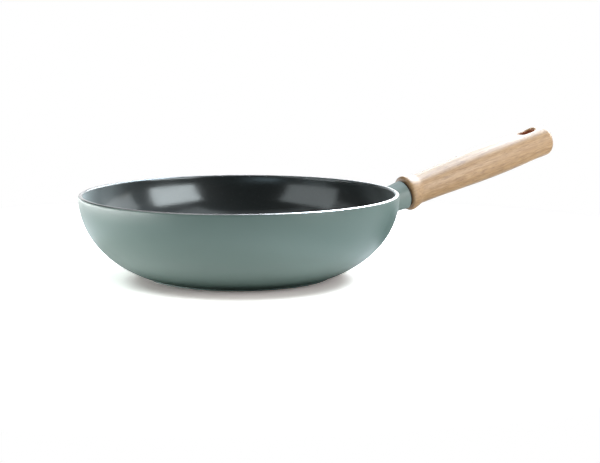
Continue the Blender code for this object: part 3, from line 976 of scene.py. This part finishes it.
def press_round_slot(bm):
    """Drops the skin round the slot's two mouths by a quarter round."""
    for vert in bm.verts:
        distance = from_slot(vert.co.y, vert.co.z)
        if distance >= SLOT_LIP_ROUND or vert.co.xy.length < TAIL_RADIUS - TAIL_ROUND:
            continue
        inward = SLOT_LIP_ROUND - max(0.0, distance)
        drop = SLOT_LIP_ROUND - math.sqrt(max(0.0, SLOT_LIP_ROUND**2 - inward**2))
        vert.co.x -= math.copysign(drop, vert.co.x)


def slot_cutter():
    """The slot as a straight cutter with round ends, across the grip."""
    bm = bmesh.new()
    radius = SLOT_WIDTH / 2
    half_straight = SLOT_LENGTH / 2 - radius
    loops = []
    for x in (-2 * BELLY_RADIUS, 2 * BELLY_RADIUS):
        loop = []
        for sign, start in ((1, -math.pi / 2), (-1, math.pi / 2)):
            for step in range(SLOT_END_STEPS + 1):
                angle = start + math.pi * step / SLOT_END_STEPS
                z = slot_middle + sign * half_straight + radius * math.cos(angle)
                loop.append(bm.verts.new((x, radius * math.sin(angle), z)))
        loops.append(loop)
    bar_between(bm, *loops)
    return finished("slot_cutter", bm, [beech_cut_painted_shade], handle_place)


print("The mouths are rounded by", 1000 * SLOT_LIP_ROUND, "mm")

# %% [markdown]
# Three cuts open the grip, as they do in the workshop. The spigot's hole comes from the front. A
# stepped bore comes from the tail: it is narrow where only the screw's shank passes, and wide
# behind the step on which the screw's head pulls. The slot comes last, straight through.

# %% Build the grip
SEAT_BEHIND_SPIGOT = 0.028
SCREW_BORE = 0.0029
TOOL_BORE = 0.00465
spigot_end = NECK_REACH + SPIGOT_IN_GRIP
screw_seat = spigot_end + SEAT_BEHIND_SPIGOT

grip_bm = turned(grip_outline(), GRIP_SEGMENTS)
press_round_slot(grip_bm)
grip = finished("beech_grip", grip_bm, [beech], handle_place)
bore = [
    (0.0, spigot_end - OVERRUN),
    (SCREW_BORE, spigot_end - OVERRUN),
    (SCREW_BORE, screw_seat),
    (TOOL_BORE, screw_seat),
    (TOOL_BORE, grip_tail + OVERRUN),
    (0.0, grip_tail + OVERRUN),
]
cut(grip, spigot_space(NECK_REACH - OVERRUN, spigot_end + SPIGOT_PLAY, beech_cut_painted_shade))
cut(grip, finished("stepped_bore", turned(bore, ROUND_SEGMENTS), [beech_cut_painted_shade], handle_place))
cut(grip, slot_cutter())
dress(grip, "beech", "wooden_grip")

# %% [markdown]
# A wooden dowel closes the bore behind the slot. It is glued in and sanded flush, and its grain
# runs along the grip too, so it shows as a faint ring in the tail.

# %% Build the plug
PLUG_GAP = 0.00008
PLUG_CHAMFER = 0.0002
PLUG_TO_SLOT = 0.0003
plug_radius = TOOL_BORE - PLUG_GAP
plug_low = grip_tail - SLOT_TO_TAIL + PLUG_TO_SLOT
plug_outline = [
    (0.0, plug_low),
    (plug_radius, plug_low),
    (plug_radius, grip_tail - PLUG_CHAMFER),
    (plug_radius - PLUG_CHAMFER, grip_tail),
    (0.0, grip_tail),
]
plug = finished("beech_plug", turned(plug_outline, ROUND_SEGMENTS), [beech], handle_place)
dress(plug, "beech", "tail_plug")

# %% [markdown]
# ## Metal inside the grip
# Bracket, insert, screw and washers hide inside the handle. Their solids have the right shape
# already, so they stay and only get real metal on them: a grainy casting, turned brass and
# plated steel.

# %% Materials of the hidden metal
MOULD_WAVES = 1400.0
MOULD_DEPTH = 0.00006
MOULD_SHADE = 0.75


def cast_metal(name, colour):
    """Casting with the grain of its mould."""
    material, tree, shader = new_material(name)
    place = own_place(tree)
    grain = noise_at(tree, place, MOULD_WAVES, detail=3.0)
    shade = tuple(MOULD_SHADE * part for part in colour)
    fill(tree, shader, [
        ("Base Color", blend_colours(tree, grain, shade, colour)),
        ("Roughness", uneven(tree, grain, 0.42, 0.58)),
        ("Metallic", 1.0),
        ("Normal", bumped(tree, grain, MOULD_DEPTH)),
    ])
    return material


# name, colour and roughness
turned_finishes = {
    "thread_insert": ("turned_brass", (0.72, 0.50, 0.22), 0.28),
    "long_screw": ("plated_screw", (0.62, 0.62, 0.61), 0.26),
    "screw_flat_washer": ("plated_washer", (0.60, 0.60, 0.59), 0.30),
    "screw_spring_washer": ("spring_steel", (0.36, 0.36, 0.37), 0.32),
}
hidden_finishes = {"handle_bracket": cast_metal("cast_aluminium", (0.62, 0.63, 0.64))}
for node, finish in turned_finishes.items():
    hidden_finishes[node] = turned_metal(*finish, place_of=upright_place)
for name, material in hidden_finishes.items():
    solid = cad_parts[name]
    solid.data.materials.clear()
    solid.data.materials.append(material)
print("Finished in metal:", ", ".join(hidden_finishes))

# %% [markdown]
# ## The floor
# Catalogue photos stand the pan on white paper and expose it so that the paper is pure white,
# and all that remains of the floor is a tight shadow under the foot. One disc of paper can do
# that, because the Light Path node tells its material who asks. The camera sees the paper
# brighter than it is, with the real shadow kept, and round the foot its colour is painted darker:
# a painted shadow that makes the shadow deep at the foot and quickly white away from it, as in a
# photo whose whites were pulled up. The painted shadow lies a little to the front, so its middle
# isn't the foot's.

# %% Paper as the camera sees it
FLOOR_RADIUS = 6.0
FLOOR_SEGMENTS = 96
# Painted shadow: the paper's colour for the camera in the middle of the shadow, darker than open
# paper.
PAINTED_SHADOW_PAPER = (1.20, 1.09, 1.06)
PAPER_SEEN = (2.70, 2.62, 2.58)
SHADOW_MIDDLE = (-0.011, -0.023, 0.0)
SHADOW_SPAN = (0.086, 0.114)

floor_bm = bmesh.new()
bmesh.ops.create_circle(floor_bm, cap_ends=True, segments=FLOOR_SEGMENTS, radius=FLOOR_RADIUS)
paper, tree, _ = new_material("paper")
rays = add_node(tree, "LightPath").outputs
to_camera, to_gloss = rays["Is Camera Ray"], rays["Is Glossy Ray"]
place = own_place(tree)

# Painted shadow: the camera's paper darkens towards a point just in front of the foot.
to_middle = vector_maths(tree, "DISTANCE", "Value", place, SHADOW_MIDDLE)
open_paper = rising(tree, to_middle, SHADOW_SPAN)
seen = blend_colours(tree, open_paper, PAINTED_SHADOW_PAPER, PAPER_SEEN)
print("The camera sees open paper at", PAPER_SEEN)

# %% [markdown]
# A glossy ray asks what the pan mirrors. The satin paint of the lower wall mirrors the paper
# just in front of it, and for glossy rays that paper is painted brighter than plain paper: a
# painted reflection that lightens the lower wall.
# Towards the right, where a window lights the wall, plain paper is enough. Under the grip the
# paper is painted nearly black for glossy rays only: painted shade that the bowl's flank beside
# the neck mirrors. The paper next to the foot is painted dark for all rays but the camera's:
# painted shade that draws the dark line along the foot.

# %% Paper as the pan meets it
PAPER = (0.90, 0.90, 0.89)
# Painted reflection: the paper near the pan as glossy rays see it, brighter than paper is.
PAPER_PAINTED_BRIGHT_FOR_GLOSS = (1.60, 1.58, 1.56)
PAINTED_REFLECTION_SPAN = (0.15, 0.34)
RIGHT_SPAN = (0.045, 0.165)
# Painted shade: the paper next to the foot, for all rays but the camera's.
PAINTED_SHADE_BY_FOOT = (0.08, 0.11, 0.10)
PAINTED_SHADE_SPAN = (0.090, 0.112)
# Painted shade: the paper under the grip, as glossy rays meet it.
GRIP_PAINTED_SHADE = (0.04, 0.04, 0.04)
GRIP_SHADE_STARTS = (0.13, 0.17)
GRIP_SHADE_SIDES = (0.09, 0.14)


def product(tree, *factors):
    """The product of outputs or numbers."""
    result = factors[0]
    for factor in factors[1:]:
        result = maths(tree, "MULTIPLY", result, factor)
    return result


view_flat = Vector((CAMERA_LOOKS.x, CAMERA_LOOKS.y, 0.0)).normalized()
view_right = Vector((view_flat.y, -view_flat.x, 0.0))
reach = vector_maths(tree, "LENGTH", "Value", place)
to_right = vector_maths(tree, "DOT_PRODUCT", "Value", place, view_right)
off_right = falling(tree, to_right, RIGHT_SPAN)
# Painted reflection: near the pan, glossy rays see the paper brighter, except towards the right.
mirrored = product(tree, falling(tree, reach, PAINTED_REFLECTION_SPAN), off_right, to_gloss)
colour = tinted(tree, mirrored, 1.0, (*PAPER, 1.0), PAPER_PAINTED_BRIGHT_FOR_GLOSS)
# Painted shade: the paper next to the foot is dark for all rays but the camera's.
colour = tinted(tree, falling(tree, reach, PAINTED_SHADE_SPAN), 1.0, colour, PAINTED_SHADE_BY_FOOT)

sides = add_node(tree, "SeparateXYZ", [("Vector", place)]).outputs
# Painted shade under the grip, which only glossy rays meet.
along_grip = rising(tree, sides["X"], GRIP_SHADE_STARTS)
beside_grip = falling(tree, maths(tree, "ABSOLUTE", sides["Y"]), GRIP_SHADE_SIDES)
painted_shade_under_grip = product(tree, along_grip, beside_grip, to_gloss)
colour = tinted(tree, painted_shade_under_grip, 1.0, colour, GRIP_PAINTED_SHADE)

by_camera = add_node(tree, "Mix", data_type="RGBA")
fill(tree, by_camera, [("Factor", to_camera), (6, colour), (7, seen)])
diffuse = add_node(tree, "BsdfDiffuse", [("Color", by_camera.outputs[2])])
print("The pan mirrors the paper near its foot at", PAPER_PAINTED_BRIGHT_FOR_GLOSS)

# %% [markdown]
# The wall leans over the paper and shades it, yet in the photo its lower part is well lit. A
# strip light that lies on the paper in front of the pan does this. Here a ring of the paper
# itself glows, on the camera's side only, and hides from the camera. Last, the far paper fades
# into plain white, where no shadow falls, so that no horizon shows.

# %% Glow, fade and the finished floor
GLOW = 0.66
GLOW_STARTS = (0.103, 0.127)
GLOW_ENDS = (0.17, 0.23)
GLOW_FRONT = (0.0, 0.08)
FADE_SPAN = (0.30, 0.55)
WHITE = (1.0, 1.0, 1.0)

forward = vector_maths(tree, "DOT_PRODUCT", "Value", place, -view_flat)
ring = product(
    tree,
    ranged(tree, reach, *GLOW_STARTS, 0.0, GLOW),
    falling(tree, reach, GLOW_ENDS),
    rising(tree, forward, GLOW_FRONT),
    off_right,
    maths(tree, "SUBTRACT", 1.0, to_camera),
)
glow = add_node(tree, "Emission", [("Strength", ring)]).outputs["Emission"]
table = add_node(tree, "AddShader", [(0, diffuse.outputs["BSDF"]), (1, glow)])

fade = product(
    tree,
    rising(tree, reach, FADE_SPAN),
    maths(tree, "MAXIMUM", to_camera, to_gloss),
    maths(tree, "SUBTRACT", 1.0, painted_shade_under_grip),
)
white = add_node(tree, "Emission", [("Color", (*WHITE, 1.0))]).outputs["Emission"]
surface = add_node(tree, "MixShader", [(0, fade), (1, table.outputs["Shader"]), (2, white)])
fill(tree, tree.nodes["Material Output"], [("Surface", surface.outputs["Shader"])])
floor = finished("floor", floor_bm, [paper])
print("The floor is", 2 * FLOOR_RADIUS, "m wide")

# %% [markdown]
# ## Light
# Large soft lamps give soft borders between light and shade. Their place is read from the pan:
# a glossy dark bowl mirrors each lamp, so the two pale patches inside tell where the two big
# windows of the studio are. Each lamp is placed by its bearing, from the camera's back towards
# its right, and its height above the horizon, and it looks at the pan. Its power follows from
# how bright its face is: a lamp of area A and brightness B gives pi times A times B watts.

# %% A way to add lamps
RIM_MIDDLE = Vector((0.0, 0.0, BOWL_HEIGHT))


def add_lamp(name, bearing, height, distance, size, brightness, colour=WHITE):
    """A soft box. bearing 0 is behind the camera and 90 to its right, in degrees."""
    turn, lift = math.radians(bearing), math.radians(height)
    level = -view_flat * math.cos(turn) + view_right * math.sin(turn)
    towards = level * math.cos(lift) + UP * math.sin(lift)
    light = bpy.data.lights.new(name, "AREA")
    light.shape = "RECTANGLE"
    light.size, light.size_y = size
    light.energy = math.pi * size[0] * size[1] * brightness
    light.color = colour
    lamp = bpy.data.objects.new(name, light)
    lamp.location = towards * distance + RIM_MIDDLE
    lamp.rotation_euler = (-towards).to_track_quat("-Z", "Y").to_euler()
    lamp.visible_camera = False
    bpy.context.scene.collection.objects.link(lamp)
    print(f"{name}: {light.energy:.1f} W at {[round(v, 2) for v in lamp.location]}")


# %% [markdown]
# Two windows stand low at the front. They give the two patches inside and light the wall. Two
# more lamps behind the pan draw the far side: a window, and a strip along the lip. The long
# white highlight on the grip comes from behind and above: a wide wall with soft light, and a
# small strong box. Both are cooler than the windows, because varnish mirrors a lamp in the
# lamp's own colour, and a highlight as warm as the wood would look like pale wood. Weak boxes
# from above and from the side lift what is left, and a row of low cards brightens the left
# edge of the bowl, where the wall turns away.

# %% Set up the lamps
DAYLIGHT = (0.94, 1.0, 1.06)
SKYLIGHT = (0.86, 1.0, 1.15)
LOW_HEIGHT = -2.4
LOW_DISTANCE = 0.7
LOW_SIZE = (0.30, 0.09)
# bearing and brightness
LOW_CARDS = ((-65.0, 22.0), (-90.0, 27.0), (-115.0, 13.0), (-140.0, 6.0))

# name, bearing, height, distance, size, brightness and colour
soft_boxes = [
    ("right_window", 58.3, 15.8, 1.5, (1.09, 0.88), 5.4, WHITE),
    ("left_window", -60.0, 18.0, 1.5, (1.26, 0.88), 1.35, WHITE),
    ("back_window", 125.0, 13.0, 1.5, (1.50, 0.75), 1.7, WHITE),
    ("back_strip", -170.0, 9.0, 1.5, (1.9, 0.3), 1.1, WHITE),
    ("back_wall", 149.0, 30.0, 1.4, (1.3, 0.8), 7.0, DAYLIGHT),
    ("neck_box", -175.0, 62.0, 1.4, (0.6, 0.45), 0.3, DAYLIGHT),
    ("top_box", 130.0, 55.0, 1.45, (0.75, 0.5), 16.0, SKYLIGHT),
    ("front_box", 0.0, 75.0, 1.3, (1.5, 0.8), 0.25, WHITE),
    ("left_box", -90.0, 60.0, 1.3, (1.2, 0.9), 0.4, WHITE),
    ("right_box", 70.0, 62.0, 1.3, (1.0, 0.8), 0.8, WHITE),
    ("side_box", -100.0, 28.0, 1.4, (0.9, 0.5), 0.4, WHITE),
]
for soft_box in soft_boxes:
    add_lamp(*soft_box)
for bearing, brightness in LOW_CARDS:
    add_lamp("low_card", bearing, LOW_HEIGHT, LOW_DISTANCE, LOW_SIZE, brightness)

# %% [markdown]
# The world is the rest of the studio, a dim room: that is why the middle of the bowl looks deep
# and its flanks look pale. The camera itself sees white in every direction.

# %% World
ROOM = (0.030, 0.032, 0.034)

world = bpy.data.worlds.new("studio")
bpy.context.scene.world = world
world.use_nodes = True
tree = world.node_tree
to_camera = add_node(tree, "LightPath").outputs["Is Camera Ray"]
shown = blend_colours(tree, to_camera, ROOM, WHITE)
fill(tree, tree.nodes["Background"], [("Color", shown), ("Strength", 1.0)])
bpy.context.scene.view_settings.view_transform = "Standard"
print("The studio is lit")
